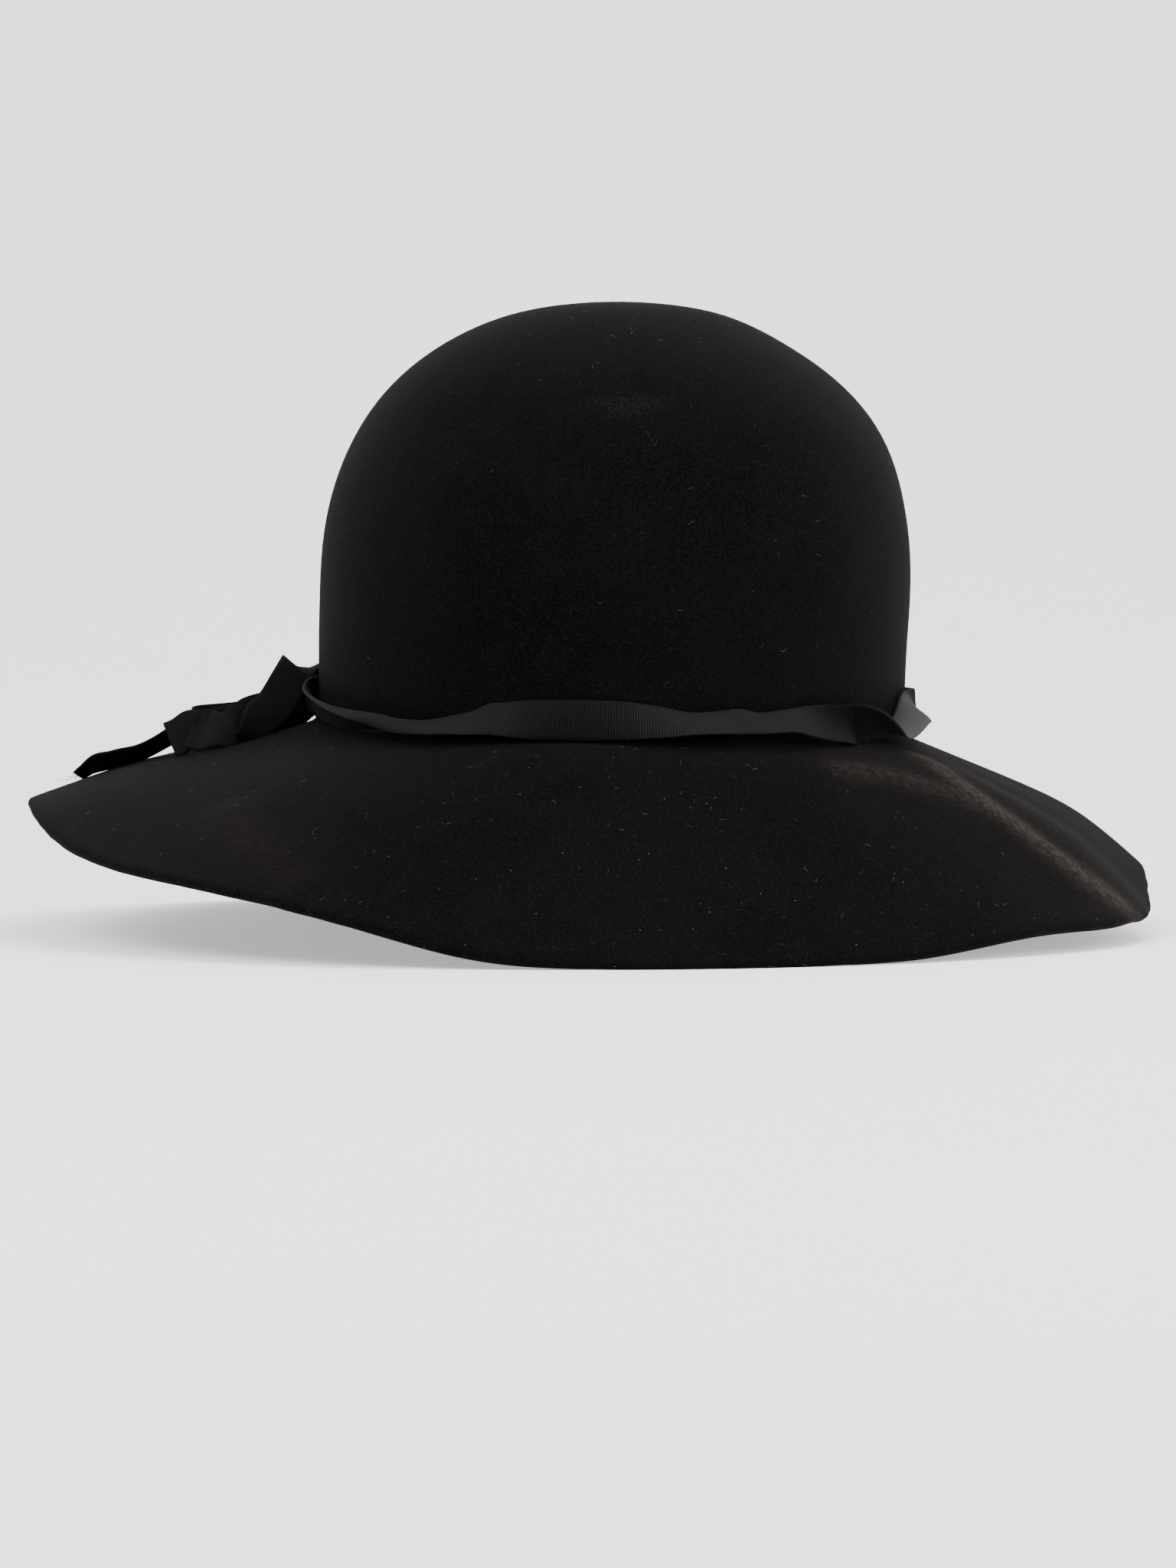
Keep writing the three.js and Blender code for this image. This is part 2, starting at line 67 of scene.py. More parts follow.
def ripple(turn, waves, seed):  # soft irregular wave once round, about -1 to 1
    phases = np.random.default_rng(seed).uniform(0, 2 * np.pi, len(waves))
    return sum(np.sin(wave * turn + phase) for wave, phase in zip(waves, phases)) / len(waves)


def through(rows, count):  # smooth curve through rows of numbers
    rows = np.asarray(rows, float)
    ghosts = np.concatenate([[2 * rows[0] - rows[1]], rows, [2 * rows[-1] - rows[-2]]])
    place = np.linspace(0, len(rows) - 1, count)
    start = np.minimum(place.astype(int), len(rows) - 2)
    t = (place - start).reshape((-1,) + (1,) * (rows.ndim - 1))
    a, b, c, d = (ghosts[start + step] for step in range(4))
    bend = 2 * a - 5 * b + 4 * c - d
    twist = 3 * b - a - 3 * c + d
    return 0.5 * (2 * b + t * (c - a + t * (bend + t * twist)))


# A socket of a node tree with the operators that sums need
class Field:
    def __init__(self, maker, socket):
        self.maker = maker
        self.socket = socket

    def sum(self, operation, *values):
        return self.maker.node("ShaderNodeMath", {"operation": operation}, dict(enumerate(values)))

    def __add__(self, other):
        return self.sum("ADD", self, other)

    def __radd__(self, other):
        return self.sum("ADD", other, self)

    def __sub__(self, other):
        return self.sum("SUBTRACT", self, other)

    def __rsub__(self, other):
        return self.sum("SUBTRACT", other, self)

    def __mul__(self, other):
        return self.sum("MULTIPLY", self, other)

    def __rmul__(self, other):
        return self.sum("MULTIPLY", other, self)

    def __truediv__(self, other):
        return self.sum("DIVIDE", self, other)

    def __rtruediv__(self, other):
        return self.sum("DIVIDE", other, self)

    def wave(self):  # cosine of the value in turns, from 0 to 1
        return self.sum("COSINE", self * (2 * math.pi)) * 0.5 + 0.5

    def between(self, low, high):  # 0 below low, 1 above high, smooth between them
        return self.maker.node("ShaderNodeMapRange", {"interpolation_type": "SMOOTHSTEP"},
                               {"Value": self, "From Min": low, "From Max": high})


class Tree:
    def __init__(self, tree):
        self.tree = tree

    def node(self, kind, settings=None, inputs=None, output=0):
        made = self.tree.nodes.new(kind)
        for name, value in (settings or {}).items():
            setattr(made, name, value)
        for name, value in (inputs or {}).items():
            if isinstance(value, Field):
                self.tree.links.new(value.socket, made.inputs[name])
            else:
                made.inputs[name].default_value = value
        return Field(self, made.outputs[output]) if made.outputs else None

    def mix(self, share, low, high):  # between two colours
        return self.node("ShaderNodeMix", {"data_type": "RGBA"}, {0: share, 6: low, 7: high}, 2)

    def noise(self, coords, scale, detail=2.0, roughness=0.5):
        return self.node("ShaderNodeTexNoise", None, {
            "Vector": coords, "Scale": scale, "Detail": detail, "Roughness": roughness})

    def stretched(self, coords, scale, turn=(0, 0, 0)):
        return self.node("ShaderNodeMapping", None,
                         {"Vector": coords, "Scale": scale, "Rotation": turn})


class Finish(Tree):
    def __init__(self, name):
        self.material = bpy.data.materials.new(name)
        self.material.use_nodes = True
        super().__init__(self.material.node_tree)
        self.tree.nodes.clear()

    def coords(self):
        return self.node("ShaderNodeTexCoord", None, None, "Object")

    def attribute(self, name):
        return self.node("ShaderNodeAttribute", {"attribute_name": name}, None, "Fac")

    def surface(self, inputs):
        shader = self.node("ShaderNodeBsdfPrincipled", None, inputs)
        self.node("ShaderNodeOutputMaterial", None, {"Surface": shader})
        return self.material


class Shape(Tree):
    def __init__(self, name, inputs):
        super().__init__(bpy.data.node_groups.new(name, "GeometryNodeTree"))
        sockets = self.tree.interface
        sockets.new_socket("Source", in_out="INPUT", socket_type="NodeSocketGeometry")
        self.identifiers = {}
        for label, kind in {**inputs, "Finish": "Material"}.items():
            socket = sockets.new_socket(label, in_out="INPUT", socket_type="NodeSocket" + kind)
            self.identifiers[label] = socket.identifier
        sockets.new_socket("Result", in_out="OUTPUT", socket_type="NodeSocketGeometry")
        self.entry = self.tree.nodes.new("NodeGroupInput")

    def input(self, label):
        return Field(self, self.entry.outputs[label])

    def attribute(self, name, kind="FLOAT"):
        return self.node("GeometryNodeInputNamedAttribute", {"data_type": kind}, {"Name": name})

    def random(self, low, high, seed):
        return self.node("FunctionNodeRandomValue", {"data_type": "FLOAT"},
                         {2: low, 3: high, "Seed": seed}, 1)

    def scaled(self, vector, factor):
        return self.node("ShaderNodeVectorMath", {"operation": "SCALE"}, {0: vector, "Scale": factor})

    def close(self, geometry):
        real = self.node("GeometryNodeRealizeInstances", None, {"Geometry": geometry})
        done = self.node("GeometryNodeSetMaterial", None,
                         {"Geometry": real, "Material": self.input("Finish")})
        self.node("NodeGroupOutput", None, {0: done})

    def made(self, mesh, values):  # the plain mesh that the tree makes from a source mesh
        source = bpy.data.objects.new("source", mesh)
        bpy.context.scene.collection.objects.link(source)
        modifier = source.modifiers.new("shape", "NODES")
        modifier.node_group = self.tree
        for label, value in values.items():
            modifier[self.identifiers[label]] = value
        ready = source.evaluated_get(bpy.context.evaluated_depsgraph_get())
        result = bpy.data.meshes.new_from_object(ready)
        bpy.data.objects.remove(source)
        return result


def place(name, mesh, finish, slot, *replaced):
    piece = bpy.data.objects.new(name, mesh)
    bpy.context.scene.collection.objects.link(piece)
    mesh.materials.clear()
    mesh.materials.append(finish)
    mesh.shade_smooth()
    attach(piece, "root")
    if replaced:
        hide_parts(*replaced)
    print(name, len(mesh.polygons), "faces")
    return piece


def addValues(mesh, name, values):  # one number for each point, for the finish to read
    layer = mesh.attributes.new(name, "FLOAT", "POINT")
    layer.data.foreach_set("value", np.ravel(values).astype(np.float32))


# Camera and studio

studio = {
    "camera": (-0.0002, -1.4070, 0.1015), "cameraTilt": 87.65, "lens": 105.47,
    "floor": (0.88, 0.88, 0.88), "glow": 0.50, "farGlow": 0.88,
    "air": (0.97, 0.98, 1.0), "airStrength": 0.90,
    # place, what it looks at, width, height, watts
    "lights": [
        ((-0.9, -1.1, 1.5), (0.0, 0.0, 0.1), 1.1, 1.1, 32),
        ((0.5, -0.2, 1.8), (0.05, 0.0, 0.1), 1.4, 1.4, 30),
        ((1.4, -0.9, 0.7), (0.1, 0.0, 0.1), 0.9, 0.9, 20),
    ],
}


def makeStudio():
    camera = bpy.data.objects.new("camera", bpy.data.cameras.new("camera"))
    camera.location = studio["camera"]
    camera.rotation_euler = (math.radians(studio["cameraTilt"]), 0, 0)
    camera.data.lens = studio["lens"]
    camera.data.clip_start = 0.05
    bpy.context.scene.collection.objects.link(camera)
    bpy.context.scene.camera = camera
    for index, (spot, aim, width, height, watts) in enumerate(studio["lights"]):
        lamp = bpy.data.lights.new(f"softbox{index + 1}", "AREA")
        lamp.shape = "RECTANGLE"
        lamp.size = width
        lamp.size_y = height
        lamp.energy = watts
        light = bpy.data.objects.new(lamp.name, lamp)
        light.location = spot
        way = Vector(aim) - Vector(spot)
        light.rotation_euler = way.to_track_quat("-Z", "Y").to_euler()
        bpy.context.scene.collection.objects.link(light)
    world = bpy.data.worlds.new("air")
    world.use_nodes = True
    air = world.node_tree.nodes["Background"]
    air.inputs["Color"].default_value = (*studio["air"], 1)
    air.inputs["Strength"].default_value = studio["airStrength"]
    bpy.context.scene.world = world
    # A floor that sweeps up far behind the hat
    sweep = [(-3.0, 0.0), (1.6, 0.0)]
    for step in range(1, 13):
        turn = math.radians(7.5 * step)
        sweep.append((1.6 + 1.2 * math.sin(turn), 1.2 - 1.2 * math.cos(turn)))
    sweep.append((2.8, 4.5))
    points = [(side, y, z) for y, z in sweep for side in (-5.0, 5.0)]
    faces = [(2 * row, 2 * row + 1, 2 * row + 3, 2 * row + 2) for row in range(len(sweep) - 1)]
    mesh = bpy.data.meshes.new("studioFloor")
    mesh.from_pydata(points, [], faces)
    mesh.shade_smooth()
    paper = Finish("paleFloor")
    grain = paper.noise(paper.coords(), 6.0, 3.0)
    pale = (*studio["floor"], 1)
    worn = (*[0.97 * value for value in studio["floor"]], 1)
    depth = paper.node("ShaderNodeSeparateXYZ", None, {"Vector": paper.coords()}, "Y")
    near = (*[studio["glow"]] * 3, 1)
    far = (*[studio["farGlow"]] * 3, 1)
    mesh.materials.append(paper.surface({
        "Base Color": paper.mix(grain, worn, pale), "Roughness": 0.9,
        "Emission Color": paper.mix(depth.between(0.2, 1.8), near, far), "Emission Strength": 1.0}))
    floor = bpy.data.objects.new("studioFloor", mesh)
    bpy.context.scene.collection.objects.link(floor)


makeStudio()
print("studio made")

# Felt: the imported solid's own mesh, divided more finely, with its creases, dents and raw edge

felt = {
    "levels": 2, "cutAngle": 50, "cutSharpness": 0.8,
    "swell": 0.30, "cutWave": 0.30,
    # path as degrees and millimetres out from the crown, height, half widths on the two
    # sides of the path, and how far it is worn pale
    "creases": [
        {"path": [(-31, 6), (-33.5, 16), (-35.6, 27), (-35.2, 38), (-33.4, 50), (-31.0, 61),
                  (-27.6, 70), (-24.0, 78)],
         "height": 1.3, "right": 9.0, "left": 4.0, "wear": 1.0, "wearWidth": 5.0},
        {"path": [(-60, 16), (-54.9, 19), (-49.3, 21.6), (-44.5, 26.7), (-40.7, 32.3), (-37.5, 40)],
         "height": 0.7, "right": 7.0, "left": 5.0, "wear": 0.45, "wearWidth": 4.0},
        {"path": [(-142, 50), (-134, 60), (-127, 68), (-120, 74)],
         "height": 0.8, "right": 10.0, "left": 8.0, "wear": 0.10, "wearWidth": 8.0},
    ],
    "hollows": [
        {"path": [(-22, 14), (-20, 34), (-16, 54), (-12, 74)],
         "height": -0.9, "right": 11.0, "left": 9.0, "wear": 0.0, "wearWidth": 8.0},
    ],
    # dusty streaks on the crown: degrees from and to, height above the root, half width
    "streaks": [(-98, -76, 96.7, 0.5), (-94, -82, 93.4, 0.4)],
}


def besidePath(plan, path):  # signed distance to a path, left of its run positive, and share along it
    line = aroundCrown(*through(path, 30).T)
    spans = np.diff(line, axis=0)
    lengths = np.hypot(*spans.T)
    before = np.concatenate([[0], np.cumsum(lengths)])
    nearest = np.full(len(plan), np.inf)
    signed = np.zeros(len(plan))
    share = np.zeros(len(plan))
    for start, span, length, done in zip(line, spans, lengths, before):
        along = np.clip((plan - start) @ span / length ** 2, 0, 1)
        offset = plan - start - along[:, None] * span
        distance = np.hypot(*offset.T)
        closer = distance < nearest
        side = np.where(span[0] * offset[:, 1] - span[1] * offset[:, 0] > 0, 1, -1)
        nearest[closer] = distance[closer]
        signed[closer] = (side * distance)[closer]
        share[closer] = ((done + along * length) / before[-1])[closer]
    return signed, share


def makeFelt():
    shell = bmesh.new()
    shell.from_mesh(cadNodes["felt_body"].data)
    bmesh.ops.remove_doubles(shell, verts=shell.verts, dist=1e-6)
    bmesh.ops.join_triangles(shell, faces=shell.faces, angle_face_threshold=math.radians(60),
                             angle_shape_threshold=math.radians(80))
    sharpness = shell.edges.layers.float.new("crease_edge")
    for edge in shell.edges:
        if edge.calc_face_angle() > math.radians(felt["cutAngle"]):
            edge[sharpness] = felt["cutSharpness"]
    rough = bpy.data.meshes.new("feltRough")
    shell.to_mesh(rough)
    shell.free()
    source = bpy.data.objects.new("feltRough", rough)
    bpy.context.scene.collection.objects.link(source)
    divider = source.modifiers.new("divide", "SUBSURF")
    divider.levels = divider.render_levels = felt["levels"]
    ready = source.evaluated_get(bpy.context.evaluated_depsgraph_get())
    mesh = bpy.data.meshes.new_from_object(ready)
    mesh.name = "feltBody"
    bpy.data.objects.remove(source)

    places = np.zeros(3 * len(mesh.vertices), np.float32)
    mesh.vertices.foreach_get("co", places)
    places = places.reshape(-1, 3).astype(float) * 1000 - crown["root"]
    turn = np.arctan2(places[:, 1], places[:, 0])
    radius = np.hypot(places[:, 0], places[:, 1])
    out = radius - ovalRadius(turn)
    height = places[:, 2]
    free = smoothStep(height + crown["root"][2], 0.3, 9.0)  # the edge that the hat stands on stays
    brim = smoothStep(out, 3, 12) * free
    edge = np.zeros(360)
    bins = (np.degrees(turn).astype(int)) % 360
    np.maximum.at(edge, bins, radius)
    rim = smoothStep(radius, edge[bins] - 3.2, edge[bins] - 0.6)

    lift = felt["swell"] * brim * ripple(turn, [5, 8, 13], 3) * smoothStep(out, 20, 70)
    wear = np.zeros(len(places))
    for fold in felt["creases"] + felt["hollows"]:
        signed, share = besidePath(places[:, :2], fold["path"])
        ends = smoothStep(share, 0.0, 0.18) * (0.35 + 0.65 * smoothStep(1 - share, 0.0, 0.12))
        spread = np.where(signed > 0, fold["left"], fold["right"])
        lift += fold["height"] * np.exp(-(signed / spread) ** 2) * ends * brim
        wear += fold["wear"] * np.exp(-(signed / fold["wearWidth"]) ** 2) * ends
    places[:, 2] += lift
    uneven = felt["cutWave"] * ripple(turn, [31, 47, 71, 97], 8) * rim * free
    swell = felt["swell"] * ripple(turn + height / 60, [3, 4, 7], 5) * smoothStep(height, 15, 40)
    swell *= smoothStep(118 - height, 0, 30) * (out < 2)
    radial = np.stack([np.cos(turn), np.sin(turn), np.zeros(len(turn))], -1)
    places += radial * (uneven + swell)[:, None]
    mesh.vertices.foreach_set("co", inFrame(places).astype(np.float32).ravel())
    mesh.update()

    dust = np.zeros(len(places))
    for start, end, level, spread in felt["streaks"]:
        middle = math.radians((start + end) / 2)
        half = math.radians((end - start) / 2)
        dust += np.exp(-((height - level) / spread) ** 2) * smoothStep(half - abs(turn - middle), 0, 0.1)
    ways = np.zeros(3 * len(places), np.float32)
    mesh.vertex_normals.foreach_get("vector", ways)
    ways = ways.reshape(-1, 3)
    outside = smoothStep(ways[:, 2] * 0.8 + (ways * radial).sum(1), 0.15, 0.45)
    front = 0.35 + 0.65 * np.exp(-((turn + 1.35) / 0.75) ** 2)
    lint = outside * (0.25 * (out < 3) + 1.0 * (out >= 3) + 0.8 * smoothStep(height, 105, 128)) * front
    addValues(mesh, "wear", wear)
    addValues(mesh, "dust", np.clip(dust, 0, 1))
    addValues(mesh, "lint", lint)
    aboveFloor = smoothStep(places[:, 2] + crown["root"][2], 0.8, 2.5)
    addValues(mesh, "fuzz", (outside * 0.5 + 6 * rim) * aboveFloor)
    return mesh


def feltFinish():
    finish = Finish("blackBrownFelt")
    coords = finish.coords()
    clouds = finish.noise(coords, 26.0, 3.0).between(0.38, 0.64)
    patches = finish.noise(coords, 90.0, 3.0).between(0.42, 0.68)
    fibres = finish.noise(finish.stretched(coords, (1, 1, 0.8)), 2000.0, 2.0, 0.6)
    tufts = finish.noise(coords, 520.0, 4.0, 0.62)
    colour = finish.mix(clouds, (0.0009, 0.0009, 0.0009, 1), (0.0019, 0.0015, 0.0014, 1))
    colour = finish.mix(patches * 0.6, colour, (0.0016, 0.0016, 0.0016, 1))
    colour = finish.mix(tufts.between(0.46, 0.74) * 0.3, colour, (0.0030, 0.0028, 0.0028, 1))
    colour = finish.mix(fibres.between(0.46, 0.64) * 0.55, colour, (0.0066, 0.0062, 0.0061, 1))
    wear = finish.attribute("wear") * (0.25 + tufts.between(0.35, 0.62) * 0.75)
    colour = finish.mix(wear * 0.8, colour, (0.036, 0.028, 0.0245, 1))
    dust = finish.attribute("dust") * fibres.between(0.40, 0.62)
    colour = finish.mix(dust * 0.35, colour, (0.016, 0.0145, 0.014, 1))
    # Fine specks of lint, in few of the cells only
    place = {"Vector": coords, "Scale": 420.0}
    cells = finish.node("ShaderNodeTexVoronoi", None, place)
    choice = finish.node("ShaderNodeTexVoronoi", None, place, "Color")
    chosen = finish.node("ShaderNodeSeparateColor", None, {"Color": choice}).between(0.86, 0.90)
    speck = (1 - cells.between(0.05, 0.11)) * chosen * finish.attribute("lint").between(0.0, 0.8)
    colour = finish.mix(speck * 0.6, colour, (0.12, 0.105, 0.095, 1))
    relief = finish.node("ShaderNodeBump", None, {
        "Strength": 0.9, "Distance": 0.0006, "Height": fibres * 0.6 + tufts * 0.4})
    return finish.surface({
        "Base Color": colour, "Roughness": 0.88 + tufts * 0.1, "Normal": relief,
        "Specular IOR Level": 0.03, "Sheen Weight": 0.024, "Sheen Roughness": 0.45,
        "Sheen Tint": (0.64, 0.50, 0.47, 1),
    })


feltMesh = makeFelt()
feltBody = place("feltBody", feltMesh, feltFinish(), "felt", "felt_body")
feltPlaces = np.zeros(3 * len(feltMesh.vertices), np.float32)
feltMesh.vertices.foreach_get("co", feltPlaces)
feltPlaces = feltPlaces.reshape(-1, 3).astype(float) * 1000 - crown["root"]
feltTree = BVHTree.FromPolygons([Vector(point) for point in feltPlaces],
                                [list(face.vertices) for face in feltMesh.polygons])

# Stray fibres: one bent fibre, set over the felt by the share of it that each place carries

fibres = {
    "lint": {"share": "lint", "perSquareMetre": 17000, "length": (0.25, 1.9), "bend": (0.1, 0.9),
             "lean": (-0.12, 0.12), "radius": 0.030, "lift": 0.10, "seed": 4},
    "fuzz": {"share": "fuzz", "perSquareMetre": 26000, "length": (0.35, 0.95), "bend": (0.1, 0.5),
             "lean": (-1.1, -0.2), "radius": 0.016, "lift": 0.0, "seed": 9},
}


def fibreShape():
    shape = Shape("fibres", {
        "Density": "Float", "Radius": "Float", "Lift": "Float", "Shortest": "Float",
        "Longest": "Float", "Least Bend": "Float", "Most Bend": "Float", "Least Lean": "Float",
        "Most Lean": "Float", "Seed": "Int"})
    seed = shape.input("Seed")
    scatter = shape.tree.nodes.new("GeometryNodeDistributePointsOnFaces")
    shape.tree.links.new(shape.entry.outputs["Source"], scatter.inputs["Mesh"])
    shape.tree.links.new((shape.input("Density") * shape.attribute("share")).socket,
                         scatter.inputs["Density"])
    shape.tree.links.new(seed.socket, scatter.inputs["Seed"])
    fibre = shape.node("GeometryNodeCurveQuadraticBezier", None, {
        "Resolution": 4, "Start": (-0.5, 0, 0), "Middle": (0, 0.6, 0), "End": (0.5, 0, 0)})
    ring = shape.node("GeometryNodeCurvePrimitiveCircle", None,
                      {"Resolution": 3, "Radius": shape.input("Radius")})
    thread = shape.node("GeometryNodeCurveToMesh", None, {
        "Curve": fibre, "Profile Curve": ring, "Fill Caps": True})
    length = shape.random(shape.input("Shortest"), shape.input("Longest"), seed + 1)
    bend = shape.random(shape.input("Least Bend"), shape.input("Most Bend"), seed + 2)
    lean = shape.random(shape.input("Least Lean"), shape.input("Most Lean"), seed + 3)
    spin = shape.random(0.0, 2 * math.pi, seed + 4)
    turned = shape.node("FunctionNodeEulerToRotation", None, {
        "Euler": shape.node("ShaderNodeCombineXYZ", None, {"Y": lean})})
    spun = shape.node("FunctionNodeEulerToRotation", None, {
        "Euler": shape.node("ShaderNodeCombineXYZ", None, {"Z": spin})})
    first = shape.node("FunctionNodeRotateRotation", {"rotation_space": "LOCAL"}, {
        "Rotation": Field(shape, scatter.outputs["Rotation"]), "Rotate By": spun})
    way = shape.node("FunctionNodeRotateRotation", {"rotation_space": "LOCAL"}, {
        "Rotation": first, "Rotate By": turned})
    raised = shape.node("GeometryNodeSetPosition", None, {
        "Geometry": Field(shape, scatter.outputs["Points"]),
        "Offset": shape.scaled(Field(shape, scatter.outputs["Normal"]), shape.input("Lift"))})
    size = shape.node("ShaderNodeCombineXYZ", None, {"X": length, "Y": length * bend, "Z": 0.001})
    shape.close(shape.node("GeometryNodeInstanceOnPoints", None, {
        "Points": raised, "Instance": thread, "Rotation": way, "Scale": size}))
    return shape


def fibreFinish(name, dark, light):
    finish = Finish(name)
    shade = finish.noise(finish.coords(), 160.0, 2.0).between(0.35, 0.65)
    return finish.surface({"Base Color": finish.mix(shade, dark, light), "Roughness": 0.8,
                           "Specular IOR Level": 0.2})


fibreTree = fibreShape()
fibreFinishes = {
    "lint": fibreFinish("greyLint", (0.012, 0.0105, 0.0095, 1), (0.13, 0.118, 0.105, 1)),
    "fuzz": fibreFinish("feltFuzz", (0.0035, 0.0028, 0.0026, 1), (0.012, 0.0095, 0.0085, 1)),
}


def placeFibres(name, values):
    source = feltMesh.copy()
    shares = np.zeros(len(source.vertices), np.float32)
    source.attributes[values["share"]].data.foreach_get("value", shares)
    addValues(source, "share", shares)
    mesh = fibreTree.made(source, {
        "Density": float(values["perSquareMetre"]), "Radius": values["radius"],
        "Lift": values["lift"] / 1000, "Shortest": values["length"][0] / 1000,
        "Longest": values["length"][1] / 1000, "Least Bend": values["bend"][0],
        "Most Bend": values["bend"][1], "Least Lean": values["lean"][0],
        "Most Lean": values["lean"][1], "Seed": values["seed"], "Finish": fibreFinishes[name]})
    place("felt" + name.capitalize(), mesh, fibreFinishes[name], "felt")


for name, values in fibres.items():
    placeFibres(name, values)

# Ribbons: rows of points across the ribbon, pushed off the felt, with woven ribs

ribbon = {
    "width": 12.0, "thickness": 0.55, "clear": 0.12, "across": 10,
    "ribPitch": 0.78, "ribHeight": 0.17, "rowsPerRib": 3, "layingTurns": 14,
}


def pushOff(row, facing):  # the move that takes a row's worst point off the nearest face of the felt
    half = ribbon["thickness"] / 2 + ribbon["ribHeight"]
    worst = 0
    push = np.zeros(3)
    for point in row:
        place = Vector(point)
        spot, normal, face, distance = feltTree.find_nearest(place)
        gap = distance if (place - spot).dot(normal) > 0 else -distance
        short = ribbon["clear"] + half * abs(facing @ normal) - gap
        if short > worst:
            worst = short
            push = np.array(normal) * short
    return push


def evened(values, reach):  # mean of each row's neighbours
    weights = np.hanning(2 * reach + 3)[1:-1]
    padded = np.pad(values, [(reach, reach), (0, 0)], mode="edge")
    columns = [np.convolve(column, weights / weights.sum(), mode="valid") for column in padded.T]
    return np.stack(columns, -1)


def laidClear(rows, reach=3):  # moves rows evenly off the felt, though some can stay in it
    facings = unit(np.cross(np.gradient(rows.mean(1), axis=0), rows[:, -1] - rows[:, 0]))
    moves = np.zeros((len(rows), 3))
    for turn in range(ribbon["layingTurns"]):
        pushes = np.array([pushOff(row + move, facing) for row, move, facing in zip(rows, moves, facings)])
        moves = moves + evened(pushes, reach)
    print("ribbon laid clear by at most", round(float(np.linalg.norm(moves, axis=1).max()), 1), "mm")
    return rows + evened(moves, reach)[:, None]


def unit(vectors):
    return vectors / np.linalg.norm(vectors, axis=-1, keepdims=True)


def crossRows(centres, across, faces, curls):  # straight or curled rows of points
    share = np.linspace(-0.5, 0.5, ribbon["across"] + 1)
    bend = np.radians(np.where(np.abs(curls) < 1, 1, curls))[:, None]
    sideways = np.sin(bend * share) / bend
    inwards = (np.cos(bend * share) - 1) / bend
    return (centres[:, None] + ribbon["width"] * (
        sideways[..., None] * across[:, None] + inwards[..., None] * faces[:, None]))


def ribbonMesh(name, rows, worn):  # the woven strip as a closed mesh, with worn as a table of painted highlight along it
    length = np.linalg.norm(np.diff(rows.mean(1), axis=0), axis=1).sum()
    fine = through(rows, max(int(length / ribbon["ribPitch"] * ribbon["rowsPerRib"]), 8))
    count, width = fine.shape[:2]
    onwards = np.gradient(fine, axis=0)
    across = np.gradient(fine, axis=1)
    outward = unit(np.cross(onwards, across))
    steps = np.linalg.norm(np.diff(fine.mean(1), axis=0), axis=1)
    along = np.concatenate([[0], np.cumsum(steps)])
    half = outward * ribbon["thickness"] / 2
    points = np.concatenate([(fine + half).reshape(-1, 3), (fine - half).reshape(-1, 3)])
    front = np.arange(count * width).reshape(count, width)
    back = front + count * width
    faces = []

    def sheet(grid):
        quads = np.stack([grid[:-1, :-1], grid[:-1, 1:], grid[1:, 1:], grid[1:, :-1]], -1)
        faces.extend(quads.reshape(-1, 4).tolist())

    sheet(front[:, ::-1])
    sheet(back)
    sheet(np.stack([back[:, 0], front[:, 0]], 1))
    sheet(np.stack([front[:, -1], back[:, -1]], 1))
    sheet(np.stack([front[0], back[0]], 0))
    sheet(np.stack([back[-1], front[-1]], 0))
    mesh = bpy.data.meshes.new(name)
    mesh.from_pydata(inFrame(points).tolist(), [], faces)
    solid = bmesh.new()
    solid.from_mesh(mesh)
    bmesh.ops.recalc_face_normals(solid, faces=solid.faces)
    solid.to_mesh(mesh)
    solid.free()
    addValues(mesh, "along", np.tile(np.repeat(along, width), 2))
    addValues(mesh, "across", np.tile(np.tile(np.linspace(0, 1, width), count), 2))
    # Painted highlight: the skin that faces up is painted lighter, and the worn table adds painted
    # highlight at listed places along the strip
    skyward = outward[..., 2].ravel()
    upwardPaintedHighlight = smoothStep(np.concatenate([skyward, -skyward]), 0.1, 0.95)
    pale = np.interp(np.linspace(0, 1, count), np.linspace(0, 1, len(worn)), worn)
    addValues(mesh, "paintedHighlight", 0.6 * upwardPaintedHighlight + np.tile(np.repeat(pale, width), 2))
    return mesh


def ribShape():  # raises a rib for each pitch, and leaves the selvedges plain
    shape = Shape("ribs", {"Pitch": "Float", "Height": "Float"})
    along = shape.attribute("along")
    across = shape.attribute("across")
    middle = across.between(0.01, 0.06) * (1 - across.between(0.94, 0.99))
    rise = (along / shape.input("Pitch")).wave() * shape.input("Height") * middle
    normal = shape.node("GeometryNodeInputNormal")
    raised = shape.node("GeometryNodeSetPosition", None, {
        "Geometry": Field(shape, shape.entry.outputs["Source"]),
        "Offset": shape.scaled(normal, rise)})
    shape.close(raised)
    return shape


